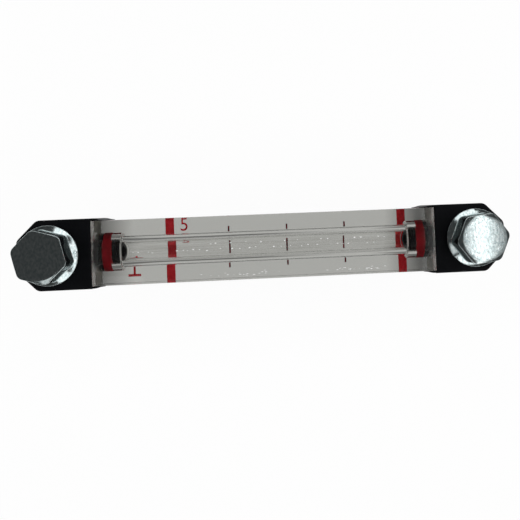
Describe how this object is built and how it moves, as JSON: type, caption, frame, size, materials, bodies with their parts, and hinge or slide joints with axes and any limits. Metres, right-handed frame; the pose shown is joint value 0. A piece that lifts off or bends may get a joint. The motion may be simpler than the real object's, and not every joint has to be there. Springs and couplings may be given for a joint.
{
  "type": "fluid level gauge",
  "caption": "Hydraulic oil level gauge: a clear bored acrylic bar between two black end blocks, with O-ring spigots and hollow flanged bolts through the blocks.",
  "frame": {"origin": "on the surface the gauge lies on, under the point midway between its two bolts", "axes": "+X along the gauge from the left bolt to the right bolt, +Y across it, +Z out of its front, from the bolts' tips to their heads"},
  "size_m": [0.1724, 0.0246, 0.0478],
  "materials": {
    "clear_acrylic": "clear, polished",
    "black_plastic": "moulded, semi-gloss",
    "zinc_plated_steel": "bright zinc plate",
    "red_rubber": "smooth",
    "black_rubber": "smooth"
  },
  "bodies": {
    "root": {"sight_bar": "clear_acrylic", "left_end_block": "black_plastic", "left_hollow_bolt": "zinc_plated_steel", "left_spigot_ring": "red_rubber", "left_head_ring": "red_rubber", "left_wall_ring": "black_rubber", "right_end_block": "black_plastic", "right_hollow_bolt": "zinc_plated_steel", "right_spigot_ring": "red_rubber", "right_head_ring": "red_rubber", "right_wall_ring": "black_rubber"}
  },
  "joints": []
}
